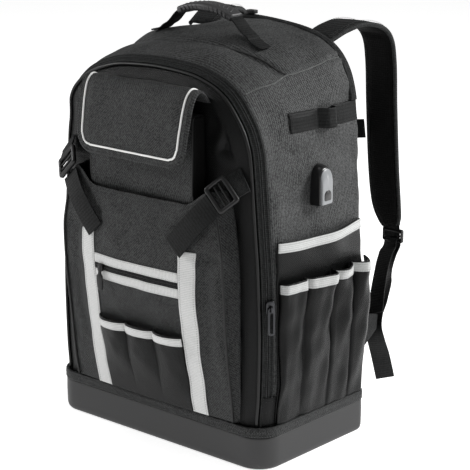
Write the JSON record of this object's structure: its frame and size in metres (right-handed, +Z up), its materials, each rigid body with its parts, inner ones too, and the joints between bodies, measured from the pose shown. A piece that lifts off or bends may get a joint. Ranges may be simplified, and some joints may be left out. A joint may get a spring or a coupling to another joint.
{
  "type": "tool backpack",
  "caption": "Tool backpack of black cloth on a moulded base, with padded shoulder straps, flap pocket, light tapes and rows of tool loops.",
  "frame": {"origin": "middle of the flat underside of the base, which the bag stands on", "axes": "+Z up, the front faces -Y, and the side with the socket housing is +X"},
  "size_m": [0.4022, 0.3735, 0.546],
  "materials": {
    "body_cloth": "coarse coated weave, matt",
    "padding_cloth": "fine weave over foam, matt",
    "webbing": "woven webbing, slight sheen",
    "light_tape": "woven light grey tape",
    "light_piping": "smooth light piping",
    "zip_tape_black": "zip tape and moulded coil",
    "zip_cord": "cord in a moulded end",
    "zip_metal": "dark plated, glossy",
    "base_rubber": "moulded, finely grained, matt",
    "grip_rubber": "moulded, ribbed, satin",
    "buckle_plastic": "moulded, satin",
    "housing_plastic": "moulded, satin"
  },
  "bodies": {
    "backpack": {"back_padding": "padding_cloth", "base_binding": "body_cloth", "base_tray": "base_rubber", "body_shell": "body_cloth", "compression_anchor_left": "body_cloth", "compression_anchor_right": "body_cloth", "compression_buckle_left": "buckle_plastic", "compression_buckle_right": "buckle_plastic", "compression_strap_left": "webbing", "compression_strap_right": "webbing", "flap": "body_cloth", "flap_piping": "light_piping", "front_loop_trim": "light_tape", "front_panel": "body_cloth", "front_piping": "body_cloth", "front_tape_left": "light_tape", "front_tape_right": "light_tape", "front_tool_loops": "body_cloth", "handle_grip": "grip_rubber", "handle_webbing_left": "webbing", "handle_webbing_right": "webbing", "lower_pocket": "body_cloth", "lower_pocket_piping_left": "body_cloth", "lower_pocket_piping_right": "body_cloth", "lower_strap_left": "webbing", "lower_strap_right": "webbing", "main_zip_bridge": "zip_metal", "main_zip_slider": "zip_metal", "main_zip_strip": "zip_tape_black", "pocket_zip": "zip_tape_black", "pocket_zip_pull": "zip_cord", "pocket_zip_slider": "zip_metal", "rear_zip_slider": "zip_metal", "rear_zip_strip": "zip_tape_black", "shoulder_strap_left": "padding_cloth", "shoulder_strap_right": "padding_cloth", "side_loop_trim_left": "light_tape", "side_loop_trim_right": "light_tape", "side_loops_left": "body_cloth", "side_loops_right": "body_cloth", "side_pocket_left": "body_cloth", "side_pocket_right": "body_cloth", "side_pocket_trim_left": "light_tape", "side_pocket_trim_right": "light_tape", "side_webbing_left": "webbing", "side_webbing_right": "webbing", "sternum_strap": "webbing", "strap_keeper_left": "body_cloth", "strap_keeper_right": "body_cloth", "strap_lock_left": "buckle_plastic", "strap_lock_right": "buckle_plastic", "strap_tail_left": "webbing", "strap_tail_right": "webbing", "upper_pocket": "body_cloth", "usb_port": "housing_plastic", "zip_garage_left": "body_cloth", "zip_garage_right": "body_cloth", "zip_tape_lower": "light_tape", "zip_tape_upper": "light_tape"},
    "zip_pull": {"main_zip_pull": "zip_metal"}
  },
  "joints": [
    {"name": "zip_pull_hinge", "type": "hinge", "parent": "backpack", "child": "zip_pull", "pos_m": [0.17838, -0.0857, 0.206], "axis": [-0.4695, -0.8829, 0], "range_deg": [0, 150]}
  ]
}
